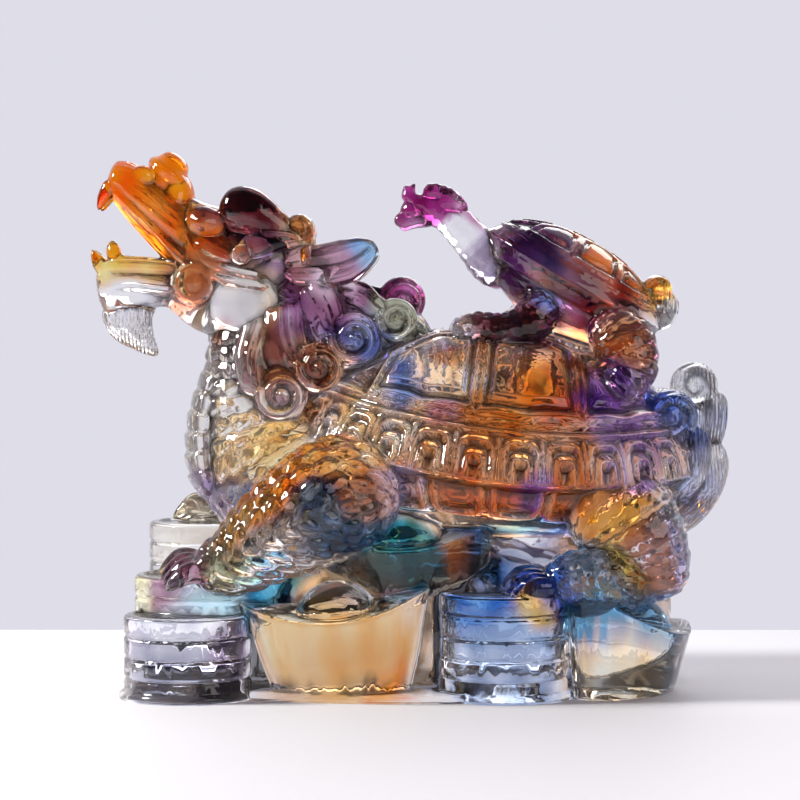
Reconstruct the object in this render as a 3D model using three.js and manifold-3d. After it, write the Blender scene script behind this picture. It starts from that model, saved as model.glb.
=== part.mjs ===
// A dragon turtle carrying its young on its back, cast in one piece of coloured glass over a bed of coin
// stacks and boat-shaped ingots. The snout points along -X, +Z is up, and the ground is at Z = 0.
import * as THREE from 'three';
import { mergeVertices } from 'three/addons/utils/BufferGeometryUtils.js';
import Module from 'manifold-3d';

const wasm = await Module();
wasm.setup();

// Driving dimensions, in millimetres
const figureLength = 212; // from the snout to the tail's outermost curl; the figure's pose is in shares of it
const plinthThickness = 2.5; // the thin rounded foot that everything stands on
const plinthMargin = 1.5; // how far the foot shows past the front stacks
const coinThickness = 6.7;
const coinRadius = 20.5;
const wideCoinRadius = 27;
const coinGroove = 0.8; // depth of the groove between two coins
const ingotLength = 58;
const ingotWidth = 34;
const ingotHeight = 31; // to the middle of its rim
const ingotDomeRadius = 12.5;

// How many coins tall each stack is from the ground; one that starts inside the bed may be a fraction
const stackCoins = { front: 4, foot: 5, wide: 5.6, tall: 7.7 };
const stackTop = (coins) => coins * coinThickness;

// The pose below is written for a figure 212 mm long that stands with its hind foot 33.5 mm up
const poseLength = 212;
const poseFoot = 33.5;
const unit = figureLength / poseLength;
const footLevel = stackTop(stackCoins.foot);
const place = ([x, y, z]) => new THREE.Vector3(x * unit, y * unit, footLevel + (z - poseFoot) * unit);

// A closed geometry as a solid, with its faces turned outwards
function solid(geometry) {
  const bare = new THREE.BufferGeometry().setAttribute('position', geometry.getAttribute('position'));
  bare.setIndex(geometry.index);
  const merged = mergeVertices(bare, 1e-4);
  const triVerts = new Uint32Array(merged.index.array);
  const make = () => new wasm.Manifold(new wasm.Mesh({
    numProp: 3,
    vertProperties: merged.attributes.position.array,
    triVerts,
  }));
  const made = make();
  if (made.volume() > 0) return made;
  for (let i = 0; i < triVerts.length; i += 3) [triVerts[i], triVerts[i + 1]] = [triVerts[i + 1], triVerts[i]];
  return make();
}

// Moves every vertex of a geometry by a rule from point to point
function reshape(geometry, rule) {
  const at = geometry.attributes.position;
  const p = new THREE.Vector3();
  for (let i = 0; i < at.count; i++) {
    const q = rule(p.fromBufferAttribute(at, i));
    at.setXYZ(i, q.x, q.y, q.z);
  }
  return geometry;
}

// An oval limb along a smooth line. Each station is [x, y, z, half width, half height]; the height is measured
// towards `up`. The ends are rounded off over the share `blunt` of the line. `carve` scales each ring.
function limb(stations, { up = [0, 0, 1], sides = 6, steps = 6, blunt = 0.2, carve = () => 1 } = {}) {
  const line = new THREE.CatmullRomCurve3(stations.map(place), false, 'centripetal');
  const sizes = new THREE.CatmullRomCurve3(
    stations.map(([, , , w, h]) => new THREE.Vector3(w * unit, (h ?? w) * unit, 0)), false, 'centripetal');
  const upward = new THREE.Vector3(...up);
  const across = new THREE.Vector3();
  const height = new THREE.Vector3();
  return solid(reshape(new THREE.SphereGeometry(1, sides, steps), (p) => {
    const t = Math.acos(THREE.MathUtils.clamp(-p.y, -1, 1)) / Math.PI;
    const ring = Math.hypot(p.x, p.z);
    const [cx, cz] = ring > 1e-6 ? [p.x / ring, p.z / ring] : [0, 0];
    const fromEnd = Math.min(t, 1 - t) / blunt;
    const rounding = fromEnd < 1 ? Math.sqrt(Math.max(0, 1 - (1 - fromEnd) ** 2)) : 1;
    const forward = line.getTangent(t);
    height.copy(upward).addScaledVector(forward, -upward.dot(forward)).normalize();
    across.crossVectors(forward, height);
    const size = sizes.getPoint(t);
    const swell = rounding * carve(Math.round(t * steps), Math.round(Math.atan2(cz, cx) / (2 * Math.PI) * sides));
    return line.getPoint(t)
      .addScaledVector(across, cx * size.x * swell)
      .addScaledVector(height, cz * size.y * swell);
  }));
}

// An egg: centre, half sizes, and a turn in degrees about the Y axis that lifts its front
function egg(centre, [hx, hy, hz], { lift = 0, sides = 8, rings = 5 } = {}) {
  const turn = new THREE.Matrix4().makeRotationY(THREE.MathUtils.degToRad(lift));
  const middle = place(centre);
  return solid(reshape(new THREE.SphereGeometry(unit, sides, rings).rotateX(Math.PI / 2),
    (p) => p.set(p.x * hx, p.y * hy, p.z * hz).applyMatrix4(turn).add(middle)));
}

// Rows of scales on a limb: every other corner of its net of faces stands out
const scaled = (depth) => (ring, corner) => 1 + depth * (Math.abs(ring + corner) % 2);

const bothSides = (make) => [make(-1), make(1)].flat();

// A lock of hair on one side of the body: it runs along its root points and ends in a whorl round its eye.
// Points are given with Y measured outwards; seen from the -Y side every whorl winds against the clock.
// The far side has the whorls alone.
function curl({ root, eye, radius, thick }, side) {
  const joint = root.at(-1).map((value, i) => value + (eye[i] - value) * 0.4);
  const lock = limb([...root, joint].map(([x, y, z]) => [x, side * y, z, thick, thick * 0.8]),
    { up: [0, side, 0], sides: 4, steps: 4, blunt: 0.1 });
  const sides = 7;
  const start = Math.atan2(root.at(-1)[2] - eye[2], root.at(-1)[0] - eye[0]);
  const windIn = 0.3;
  const profile = [[0, -1.1], [1, -0.15], [0.88, 0.4], [0.6, 0.15], [0, 0.6]];
  const isSpiral = (reach) => reach > 0.5 && reach < 0.95;
  const whorl = reshape(new THREE.LatheGeometry(profile.map(([r, h]) => new THREE.Vector2(r, h)), sides), (p) => {
    const reach = Math.hypot(p.x, p.z);
    const step = (Math.round(Math.atan2(p.x, p.z) / (2 * Math.PI) * sides) + sides) % sides;
    const wound = isSpiral(reach) ? windIn * step / (sides - 1) : 0;
    const angle = start + 2 * Math.PI * step / sides;
    return place([eye[0] + Math.cos(angle) * (reach - wound) * radius, side * (eye[1] + p.y * radius),
      eye[2] + Math.sin(angle) * (reach - wound) * radius]);
  });
  return side < 0 ? [lock, solid(whorl)] : [solid(whorl)];
}

// A turtle's shell. u runs along it from -1 at the front to 1 at the back, v across it; both reach 1 at the rim.
function shell({ centre, lift, halfLength, halfWidth, height, dip, panels, meander, sidePlates }) {
  const turn = new THREE.Matrix4().makeRotationY(THREE.MathUtils.degToRad(lift));
  const middle = place(centre);
  const rise = (reach) => height * Math.max(0, 1 - reach ** 2.4) ** 0.7;
  const surface = (u, v, proud) => {
    const reach = Math.min(1, Math.hypot(u, v));
    const lean = reach ** 3;
    return new THREE.Vector3(
      (u * halfLength + proud * lean * u) * unit,
      (v * halfWidth + proud * lean * v) * unit,
      (rise(reach) - dip * v * v + proud * (1 - lean * 0.5)) * unit,
    ).applyMatrix4(turn).add(middle);
  };
  const bandTop = 0.88;

  // The dome with its flared rim, turned as one profile. Every other panel of the rim's meander stands proud.
  const profile = [[0, -6], [0.85, -6], [1, 0], [0.96, 0.5], [0.9, 0.5], [0.87, 0.9], [0.84, 0], [0.6, 0], [0, 0]];
  const isUnder = (proud) => proud < -1;
  const isMeander = (proud) => proud === 0.5;
  const turned = new THREE.LatheGeometry(
    profile.map(([reach, proud]) => new THREE.Vector2(reach, proud)), panels * 2);
  const dome = solid(reshape(turned, (p) => {
    const panel = Math.round(Math.atan2(p.x, p.z) / Math.PI * panels) + 2 * panels;
    if (isMeander(p.y)) return surface(p.x, p.z, meander * (panel % 2));
    if (!isUnder(p.y)) return surface(p.x, p.z, p.y);
    const fall = p.y - dip * p.z * p.z * Math.hypot(p.x, p.z);
    return new THREE.Vector3(p.x * halfLength * unit, p.z * halfWidth * unit, fall * unit)
      .applyMatrix4(turn).add(middle);
  }));

  // A raised plate over a polygon of [u, v] corners
  function plate(corners) {
    const mid = corners.reduce(([a, b], [u, v]) => [a + u / corners.length, b + v / corners.length], [0, 0]);
    const steps = [[0, -1.5], [0.94, -1.5], [0.84, 1.3], [0, 1.6]];
    const net = new THREE.LatheGeometry(steps.map(([s, h]) => new THREE.Vector2(s, h)), corners.length);
    return solid(reshape(net, (p) => {
      const size = Math.hypot(p.x, p.z);
      const corner = Math.round((Math.atan2(p.x, p.z) / (2 * Math.PI)) * corners.length + corners.length);
      const [u, v] = corners[corner % corners.length];
      return surface(mid[0] + (u - mid[0]) * size, mid[1] + (v - mid[1]) * size, p.y);
    }));
  }

  // Seams between the plates, as shares along the shell
  const seams = [-0.58, -0.13, 0.31, 0.7];
  const flare = 1.15;
  const inner = 0.32;
  const peak = 0.2;
  const outer = (u, side) => [u * flare, side * Math.sqrt(bandTop ** 2 - (u * flare) ** 2) * 0.98];
  const middles = [-0.84, ...seams.slice(1).map((u, i) => (u + seams[i]) / 2), 0.85];
  const plates = seams.map((u, i) => [[middles[i], -peak], [u, -inner], [middles[i + 1], -peak],
    [middles[i + 1], peak], [u, inner], [middles[i], peak]]);
  for (const side of sidePlates ? [-1, 1] : []) {
    for (const [i, u] of seams.slice(1).entries()) {
      const before = seams[i];
      plates.push([[before, side * inner], [middles[i + 1], side * peak], [u, side * inner],
        outer(u, side), outer((u + before) / 2, side), outer(before, side)]);
    }
  }

  return [dome, ...plates.map(plate)];
}

// A stack of coins with rounded rims, turned in one; its grooves are counted from the top coin down. The stacks
// that stand on the plinth's edge have a foot round them.
function stack({ at, radius, coins, grooves, foot = 0 }) {
  const top = stackTop(coins);
  const profile = foot > 0 ? [[0, 0], [radius + foot, 0], [radius + foot, plinthThickness]] : [[0, 0], [radius, 0]];
  for (let i = grooves; i >= 0; i--) {
    const seam = top - i * coinThickness;
    profile.push([radius, seam - coinThickness / 2], [radius - coinGroove, seam]);
  }
  profile.push([0, top]);
  const turned = new THREE.LatheGeometry(profile.map(([r, z]) => new THREE.Vector2(r, z)), 12);
  return solid(turned.rotateX(Math.PI / 2).translate(at[0] * unit, at[1] * unit, 0));
}

// A boat-shaped ingot with raised tips and a round dome in its hollow, turned as one profile and then drawn out
function ingot({ at, level, turn = 0, tilt = 0 }) {
  const [halfLength, halfWidth] = [ingotLength / 2, ingotWidth / 2];
  const boat = [[0, 0], [0.62, 0], [0.84, 0.45], [1, 0.87], [0.7, 0.72]];
  const domeBase = 0.72;
  const dome = [0, 45, 90].map((angle) => {
    const a = THREE.MathUtils.degToRad(angle);
    return [2 + Math.cos(a), domeBase + Math.sin(a) * ingotDomeRadius / ingotHeight];
  });
  const placed = new THREE.Matrix4().makeTranslation(at[0] * unit, at[1] * unit, level)
    .multiply(new THREE.Matrix4().makeRotationZ(THREE.MathUtils.degToRad(turn)))
    .multiply(new THREE.Matrix4().makeRotationY(THREE.MathUtils.degToRad(tilt)));
  const turned = new THREE.LatheGeometry([...boat, ...dome].map(([r, z]) => new THREE.Vector2(r, z)), 12);
  return solid(reshape(turned, (p) => {
    const reach = Math.hypot(p.x, p.z);
    if (reach > 1.5) {
      const share = (reach - 2) / reach * ingotDomeRadius;
      return p.set(p.x * share, p.z * share, p.y * ingotHeight).applyMatrix4(placed);
    }
    const pinch = 1 - 0.3 * p.x * p.x;
    const tips = p.y > 0.5 ? 0.24 * p.x * p.x : 0;
    return p.set(p.x * halfLength, p.z * halfWidth * pinch, (p.y + tips - 0.1) * ingotHeight).applyMatrix4(placed);
  }));
}

// The bed: plinth, mound, coin stacks and ingots
function bed() {
  const stacks = [
    { at: [-68, -37], coins: stackCoins.front, radius: coinRadius, grooves: 3, foot: plinthMargin },
    { at: [34, -37], coins: stackCoins.foot, radius: coinRadius, grooves: 3, foot: plinthMargin },
    { at: [-60, -15], coins: stackCoins.wide, radius: wideCoinRadius, grooves: 1 },
    { at: [-66, 32], coins: stackCoins.tall, radius: coinRadius, grooves: 2 },
    { at: [36, 36], coins: stackCoins.foot, radius: coinRadius, grooves: 1 },
    { at: [73, 22], coins: stackCoins.front, radius: coinRadius, grooves: 1 },
  ];
  const ingots = [
    { at: [-19, -41], level: 1, tilt: -5 },
    { at: [73, -27], level: 1, turn: -56 },
    { at: [3, -24], level: 22, tilt: -3 },
    { at: [-14, 42], level: 1, tilt: 4 },
  ];
  const mound = new THREE.LatheGeometry([[0, 0], [1, 0], [0.9, 1], [0, 1]]
    .map(([r, z]) => new THREE.Vector2(r, z)), 12);
  reshape(mound, (p) => p.set(p.x * 80 * unit, p.z * 42 * unit, p.y * (footLevel + 17 * unit)));
  const slab = solid(new THREE.CylinderGeometry(1, 1, plinthThickness, 20).rotateX(Math.PI / 2)
    .scale(88 * unit, 56 * unit, 1).translate(2 * unit, 0, plinthThickness / 2));
  return [solid(mound), slab, ...stacks.map(stack), ...ingots.map(ingot)];
}

// Four toes that fan out from a paw along X, each ending in a claw
function toes([x, y, z], spread, size) {
  return [-1.5, -0.5, 0.5, 1.5].map((k) => {
    const at = (reach, down, r) => [
      x - reach * size, y + spread * k * (1 + reach * size / 30), z + down * size, r * size];
    return limb([at(0, 0, 0.9), at(1.6, 0.2, 1), at(2.7, -0.4, 0.75), at(3.8, -1.3, 0.25)],
      { sides: 4, steps: 3, blunt: 0.12 });
  });
}

function frontLeg(side, footTop) {
  const lift = (footTop - stackTop(stackCoins.wide)) / unit;
  return [
    limb([[-4, side * 30, 68, 15], [-20, side * 40, 64, 17, 19], [-38, side * 44, 54 + lift * 0.5, 14, 15.5],
      [-54, side * 42, 43.5 + lift, 9.5, 10], [-66, side * 39, 41.5 + lift, 8, 6]],
    { sides: 8, steps: 8, blunt: 0.14, carve: scaled(0.07) }),
    ...toes([-62, side * 39, 41 + lift], 3.9, 3.6),
  ];
}

function hindLeg(side) {
  return [
    limb([[58, side * 26, 68, 14, 13], [72, side * 34, 57, 13, 17], [80, side * 35, 42, 13, 14],
      [80, side * 35, 30, 11, 9]], { up: [1, 0, 0], sides: 8, carve: scaled(0.06) }),
    limb([[83, side * 34, 33, 9], [70, side * 40, 38, 11, 10.5], [56, side * 43, 38.5, 9, 8.5],
      [46, side * 44, 37.5, 7, 5.5]], { sides: 8, carve: scaled(0.07) }),
    ...toes([48, side * 44, 36.5], 3.6, 3.2),
  ];
}

function trunk() {
  return [
    // Belly, and the marginal plates under the rim
    egg([32, 0, 68], [62, 47, 19], { lift: 5, sides: 14, rings: 5 }),
    // Chest and neck
    limb([[-22, 0, 62, 30, 22], [-38, 0, 72, 29, 28], [-46, 0, 88, 22, 21], [-48, 0, 102, 17, 17],
      [-47, 0, 118, 14, 15], [-46, 0, 130, 13, 13]],
    { up: [1, 0, 0], sides: 10, steps: 8, blunt: 0.12, carve: scaled(0.035) }),
    // Overlapping belly plates down the front of the throat
    ...[0, 1, 2].map((i) => {
      const down = i / 2;
      return egg([-60 - 4 * Math.sin(down * 2.6), 0, 104 - 42 * down], [5 + 2 * down, 12 + 6 * down, 13],
        { lift: 20 - 45 * down, rings: 4 });
    }),
  ];
}

function head() {
  const skull = [
    egg([-48, 0, 141], [18, 15, 15], { lift: 30, rings: 4 }),
    // Upper jaw, from the cheeks to the curled snout
    limb([[-48, 0, 137, 16, 12], [-60, 0, 141, 14.5, 11.5], [-71, 0, 148.5, 12, 10], [-83, 0, 158.5, 11, 8],
      [-92, 0, 167, 9.5, 6.5], [-97, 0, 168.5, 7, 4.5]], { sides: 8, steps: 7, blunt: 0.1 }),
    // Lower jaw, from the throat to the chin
    limb([[-46, 0, 122, 13, 9], [-62, 0, 126.5, 12.5, 10.5], [-76, 0, 133, 11, 8], [-90, 0, 132.5, 10, 9],
      [-101, 0, 131, 8, 9.5]], { sides: 8, blunt: 0.1 }),
    // Tongue
    limb([[-66, 0, 137, 5, 3], [-84, 0, 139.5, 5, 2.6], [-94, 0, 141, 4, 2.6], [-96, 0, 147.5, 2.4]],
      { sides: 4, steps: 5 }),
    // Nose bulb
    egg([-77.5, 0, 169], [7.4, 8.5, 7.6]),
    // Beard
    limb([[-91, 0, 128, 6, 9], [-89.5, 0, 120, 5, 7.5], [-86, 0, 114, 3.6, 4.8], [-81, 0, 109.5, 1.2]],
      { up: [1, 0, 0], carve: scaled(0.1) }),
  ];
  const features = (s) => [
    // Brow, cheek, the disc at the jaw's corner, and the eye
    limb([[-67, s * 7, 155, 4, 3.4], [-60, s * 9, 158, 5.5, 6.4], [-50, s * 10, 156, 6, 7.4],
      [-38, s * 9, 149, 4, 4.4], [-32, s * 8, 146, 2.5]], { steps: 5 }),
    egg([-51, s * 12, 126], [10.5, 7.5, 12]),
    egg([-67.5, s * 11.5, 133], [7.4, 4, 7.4], { rings: 4 }),
    egg([-63.5, s * 12, 149.5], [4.4, 3.4, 4], { sides: 6, rings: 3 }),
    // Upper fang and lower fang
    limb([[-95, s * 5, 167, 2.8], [-98, s * 5.2, 161.5, 2.2], [-100, s * 5.2, 157, 0.6]],
      { up: [1, 0, 0], sides: 4, steps: 3 }),
    limb([[-94, s * 4.5, 134, 3], [-99.5, s * 5, 139.5, 2.4], [-102.5, s * 5, 145, 0.6]],
      { up: [1, 0, 0], sides: 4, steps: 3 }),
    // Horn stub and the long ear that sweeps back from it
    limb([[-36, s * 7, 138, 5, 6], [-34, s * 8, 147, 4.8, 5.6], [-33, s * 8.5, 152, 4.4, 4.8],
      [-33, s * 8.5, 156, 2.5]], { up: [1, 0, 0], steps: 4 }),
    limb([[-38, s * 10, 138, 4.5, 6], [-27, s * 13, 138.5, 4.5, 7.2], [-18, s * 15.5, 140, 4, 7.4],
      [-10.5, s * 16.5, 144, 3, 5], [-8, s * 16.8, 146.5, 2, 2.4]], { steps: 5, blunt: 0.14 }),
  ];
  return [...skull, ...bothSides(features)];
}

// The mane: a swept-back body of hair that ends in a row of curls down each side
function mane() {
  const locks = [
    { root: [[-44, 13, 122], [-48, 18, 108], [-46, 21, 99]], eye: [-38.5, 21, 96.5], radius: 8.8, thick: 5 },
    { root: [[-38, 14, 126], [-37, 18, 115], [-33, 20, 107]], eye: [-26, 22, 105.5], radius: 8.2, thick: 5.4 },
    { root: [[-30, 12, 132], [-25, 16, 124], [-22, 18, 117]], eye: [-14.5, 19, 115], radius: 8.6, thick: 5.4 },
    { root: [[-22, 8, 128], [-13, 11, 128], [-8, 12, 124]], eye: [-1, 12, 121], radius: 7.2, thick: 5 },
  ];
  const crest = { root: [[-20, 0, 130], [-12, 0, 128], [-6, 0, 127]], eye: [1, 0, 127.5], radius: 8, thick: 4.4 };
  return [
    limb([[-44, 0, 133, 13, 10], [-32, 0, 126, 15, 14], [-18, 0, 117, 17, 14.5], [-4, 0, 112, 15, 14], [10, 0, 106, 14, 14]],
      { sides: 8, steps: 5 }),
    egg([-38, 0, 108], [13, 22, 17], { lift: -30 }),
    ...curl(crest, -1),
    ...bothSides((s) => locks.flatMap((lock) => curl(lock, s))),
  ];
}

function tail() {
  const outerLock = { root: [[88, 12, 62], [97, 14, 72], [98, 15, 83]], eye: [89.5, 17, 89], radius: 9, thick: 4.6 };
  const tip = { root: [[98, 3, 74], [104, 3, 84], [105, 3, 95]], eye: [98.5, 3, 99], radius: 8, thick: 4.4 };
  return [
    limb([[78, 0, 58, 16, 12], [92, 0, 61, 13, 11], [101, 0, 70, 9, 8.5], [104, 0, 82, 7, 5.5]],
      { up: [-1, 0, 0.4], sides: 8 }),
    ...curl(tip, -1),
    ...bothSides((s) => curl(outerLock, s)),
  ];
}

// The young one, climbing the shell with its head raised
function young() {
  const features = (s) => [
    limb([[13, s * 3.5, 159.5, 2.6, 3], [19, s * 5, 160, 2.2, 2.8], [23, s * 6, 157, 0.7, 0.9]],
      { sides: 4, steps: 3 }),
    limb([[46, s * 11, 130, 6], [45, s * 18, 122, 6.5, 7], [36, s * 19, 118, 5.4, 5], [25, s * 18, 118.5, 4.6],
      [17, s * 17.5, 117.5, 4, 3]], { carve: scaled(0.06) }),
    limb([[64, s * 14, 120, 7], [73, s * 21, 114, 8.5, 10], [75, s * 25, 104, 7, 8.5], [69, s * 28, 97, 5]],
      { up: [1, 0, 0], steps: 5, carve: scaled(0.06) }),
  ];
  return [
    egg([56, 0, 128], [28, 20, 11], { lift: 27 }),
    limb([[40, 0, 135, 9.5, 9], [31, 0, 141, 8, 8], [24, 0, 148, 6.4, 6.2], [17, 0, 155, 5.6, 5.4],
      [10, 0, 158.5, 5.4, 5], [5, 0, 158.5, 4, 3.5]], { steps: 8 }),
    limb([[12, 0, 159, 4.6, 3.2], [5, 0, 161, 4, 2.4], [1, 0, 163.5, 2.6, 1.6]], { steps: 4 }),
    limb([[12, 0, 154.5, 4.2, 2.6], [5, 0, 153.5, 3.4, 2.2], [0, 0, 152, 2.8, 2.2]], { steps: 4 }),
    egg([80, 0, 119], [7, 7, 5]),
    ...curl({ root: [[82, 1, 120], [89, 2, 122], [91, 2, 128]], eye: [86.3, 2, 131], radius: 5, thick: 3 }, -1),
    ...bothSides(features),
  ];
}

const motherShell = {
  centre: [33, 0, 77], lift: 6, halfLength: 67, halfWidth: 53, height: 39, dip: 8, panels: 12, meander: 1, sidePlates: true,
};
const youngShell = {
  centre: [57, 0, 130.5], lift: 27, halfLength: 33, halfWidth: 25, height: 17, dip: 3, panels: 7, meander: 0.4, sidePlates: false,
};

const pieces = [
  ...bed(),
  ...trunk(),
  ...shell(motherShell),
  ...shell(youngShell),
  ...head(),
  ...mane(),
  ...tail(),
  ...frontLeg(-1, stackTop(stackCoins.wide)),
  ...frontLeg(1, stackTop(stackCoins.tall)),
  ...hindLeg(-1),
  ...hindLeg(1),
  ...young(),
];

// Everything is one casting, cut off flat at the ground
const ground = solid(new THREE.BoxGeometry(4, 4, 1).scale(figureLength, figureLength, figureLength)
  .translate(0, 0, -figureLength / 2));
const casting = pieces.reduce((whole, piece) => whole.add(piece)).subtract(ground);

const net = casting.getMesh();
const geometry = new THREE.BufferGeometry();
geometry.setAttribute('position', new THREE.BufferAttribute(new Float32Array(net.vertProperties), 3));
geometry.setIndex(new THREE.BufferAttribute(new Uint32Array(net.triVerts), 1));
geometry.computeVertexNormals();

const glass = new THREE.MeshStandardMaterial({ color: 0xc0703a, roughness: 0.05, metalness: 0 });
const figure = new THREE.Mesh(geometry, glass);
figure.name = 'dragon_turtle_casting';

const group = new THREE.Group();
group.add(figure);
export default group;
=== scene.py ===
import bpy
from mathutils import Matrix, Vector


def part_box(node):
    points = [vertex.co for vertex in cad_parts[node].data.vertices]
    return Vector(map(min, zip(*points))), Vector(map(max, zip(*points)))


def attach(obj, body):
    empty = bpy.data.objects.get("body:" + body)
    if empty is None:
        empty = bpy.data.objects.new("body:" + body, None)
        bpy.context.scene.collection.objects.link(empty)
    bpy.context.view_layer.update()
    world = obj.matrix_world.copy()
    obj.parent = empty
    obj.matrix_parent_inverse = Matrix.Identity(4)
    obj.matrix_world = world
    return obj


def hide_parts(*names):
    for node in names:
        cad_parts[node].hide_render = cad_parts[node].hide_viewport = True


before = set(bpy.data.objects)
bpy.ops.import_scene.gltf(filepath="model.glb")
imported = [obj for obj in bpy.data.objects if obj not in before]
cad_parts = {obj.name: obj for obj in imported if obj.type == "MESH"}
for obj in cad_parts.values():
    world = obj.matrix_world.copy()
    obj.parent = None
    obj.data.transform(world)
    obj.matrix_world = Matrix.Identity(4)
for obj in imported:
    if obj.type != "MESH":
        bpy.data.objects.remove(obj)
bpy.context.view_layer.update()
import math
import bmesh
import bpy
import numpy as np
from mathutils import Matrix, Vector, noise

low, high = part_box("dragon_turtle_casting")
poseLength = 212.2  # snout to tail in the millimetres that the pose below is written in
mm = (high[0] - low[0]) / poseLength

casting = {
    "grain": 0.8,  # spacing of the net that carries the relief, in mm
    "voxel": 0.5,
    "triangles": 195000,
    "smoothing": 1,
    "turnSteps": 96,
    "coinThickness": 6.7,
    "coinRadius": 20.5,
    "wideCoinRadius": 27,
    "coinGroove": 1.1,
    "ingotLength": 61,
    "ingotWidth": 34,
    "ingotHeight": 31,
    "ingotDome": 14,
    "coinFoot": 1.5,  # how far the lowest coin of a front stack stands out
    "plinthHalf": (88, 56),
    "plinthTop": 2.5,
    "farLift": 14.07,  # the far front foot stands on a taller stack
    "margin": 0.02,  # kept clear between the piece and the box of the solid
}
bm = bmesh.new()


# Smooth line through points, the share t from 0 to 1 of the way along
def along(points, t):
    points = np.array(points, float)
    last = len(points) - 1
    padded = np.vstack([2 * points[0] - points[1], points, 2 * points[-1] - points[-2]])
    i = np.minimum((t * last).astype(int), last - 1)
    w = (t * last - i)[:, None]
    p0, p1, p2, p3 = (padded[i + k] for k in range(4))
    gap = [np.maximum(np.linalg.norm(b - a, axis=1), 1e-6)[:, None] ** 0.5
           for a, b in ((p0, p1), (p1, p2), (p2, p3))]
    out = (p1 - p0) / gap[0] - (p2 - p0) / (gap[0] + gap[1]) + (p2 - p1) / gap[1]
    into = (p2 - p1) / gap[1] - (p3 - p1) / (gap[1] + gap[2]) + (p3 - p2) / gap[2]
    out, into = out * gap[1], into * gap[1]
    a = 2 * p1 - 2 * p2 + out + into
    b = -3 * p1 + 3 * p2 - 2 * out - into
    return ((a * w + b) * w + out) * w + p1


def unitRows(v):
    return v / np.maximum(np.linalg.norm(v, axis=1), 1e-9)[:, None]


def smoothStep(a, b, x):
    t = np.clip((x - a) / (b - a), 0, 1)
    return t * t * (3 - 2 * t)


def bump(x, width):
    return np.exp(-(x / width) ** 2)


# Adds a part to the figure, its points moved by a rule from rows of points to rows of millimetres
def collect(part, rule):
    data = bpy.data.meshes.new("part")
    part.to_mesh(data)
    part.free()
    co = np.empty(len(data.vertices) * 3)
    data.vertices.foreach_get("co", co)
    co = rule(co.reshape(-1, 3)) * mm
    data.vertices.foreach_set("co", co.ravel())
    bm.from_mesh(data)
    bpy.data.meshes.remove(data)


# A ball rolled from a grid: its sides close on each other and its ends to points
def reshapedBall(sides, rings, rule):
    part = bmesh.new()
    bmesh.ops.create_grid(part, x_segments=sides, y_segments=rings, size=1)

    def roll(p):
        angle = p[:, 0] * math.pi
        down = (p[:, 1] + 1) * math.pi / 2
        ball = [np.cos(angle) * np.sin(down), np.sin(angle) * np.sin(down), np.cos(down)]
        return rule(np.stack(ball, axis=1))

    collect(part, roll)


# An oval limb along its stations [x, y, z, half width, half height]. relief gives how far the skin stands
# out, from the way along, the way round (both in mm), the angle and the share of the length.
def limb(stations, up=(0, 0, 1), blunt=0.2, relief=None):
    line = [s[:3] for s in stations]
    sizes = [(s[3], s[-1] if len(s) > 4 else s[3]) for s in stations]
    fine = along(line, np.linspace(0, 1, 200))
    ways = np.concatenate([[0], np.cumsum(np.linalg.norm(np.diff(fine, axis=0), axis=1))])
    girth = 2 * math.pi * max(max(s) for s in sizes)
    rings = max(10, int(ways[-1] / casting["grain"]))
    sides = max(12, int(girth / casting["grain"]))

    def rule(p):
        t = np.arccos(np.clip(-p[:, 2], -1, 1)) / math.pi
        ring = np.maximum(np.hypot(p[:, 0], p[:, 1]), 1e-9)
        c, s = p[:, 0] / ring, p[:, 1] / ring
        fromEnd = np.minimum(np.minimum(t, 1 - t) / blunt, 1)
        rounding = np.sqrt(np.maximum(0, 1 - (1 - fromEnd) ** 2))
        centre = along(line, t)
        step = 1e-3
        forward = unitRows(along(line, np.minimum(t + step, 1)) - along(line, np.maximum(t - step, 0)))
        upward = np.array(up, float)
        tall = unitRows(upward - (forward @ upward)[:, None] * forward)
        across = np.cross(forward, tall)
        size = along(sizes, t)
        outward = across * c[:, None] + tall * s[:, None]
        skin = across * (c * size[:, 0] * rounding)[:, None] + tall * (s * size[:, 1] * rounding)[:, None]
        if relief:
            angle = np.arctan2(s, c)
            way = np.interp(t, np.linspace(0, 1, 200), ways)
            proud = relief(way, angle * size.max(axis=1), angle, t) * np.minimum(rounding * 1.5, 1)
            skin = skin + outward * proud[:, None]
        return centre + skin

    reshapedBall(sides, rings, rule)


# An egg: centre, half sizes, and a turn in degrees that lifts its front
def egg(centre, half, lift=0, relief=None):
    sides = max(16, int(2 * math.pi * max(half) / casting["grain"]))
    turn = np.array(Matrix.Rotation(math.radians(lift), 3, 'Y'))

    def rule(p):
        size = np.array(half, float)
        skin = p * size
        if relief:
            skin = skin + unitRows(p / size) * relief(p)[:, None]
        return skin @ turn.T + np.array(centre, float)

    reshapedBall(sides, max(10, sides // 2), rule)


def bothSides(make):
    for side in (-1, 1):
        make(side)


# Carving
def fishScales(width, proud):
    def relief(way, around, angle, t):
        length = width * 0.72
        reach = width * 0.66
        height = np.zeros_like(way)
        row = np.floor(way / length)
        for above in range(3):
            k = row + above
            root = (k + 1) * length
            x = (np.mod(around / width + 0.5 * np.mod(k, 2), 1) - 0.5) * width
            d = np.where(way < root, np.hypot(way - root, x), np.abs(x))
            edge = smoothStep(0, 0.2, 1 - d / reach)
            here = proud * (0.25 + 0.75 * (root - way) / reach) * edge
            height = np.where(d < reach, np.maximum(here, 0), height)
        return height
    return relief


def pebbles(size, proud):
    def relief(way, around, angle, t):
        nearest = np.full_like(way, 9e9)
        for shift in (0, 0.5):
            x = (np.mod(around / size + shift, 1) - 0.5) * size
            y = (np.mod(way / (1.73 * size) + shift, 1) - 0.5) * 1.73 * size
            nearest = np.minimum(nearest, np.hypot(x, y))
        return proud * (1 - (nearest / (0.5 * size)) ** 2.5)
    return relief


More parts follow.
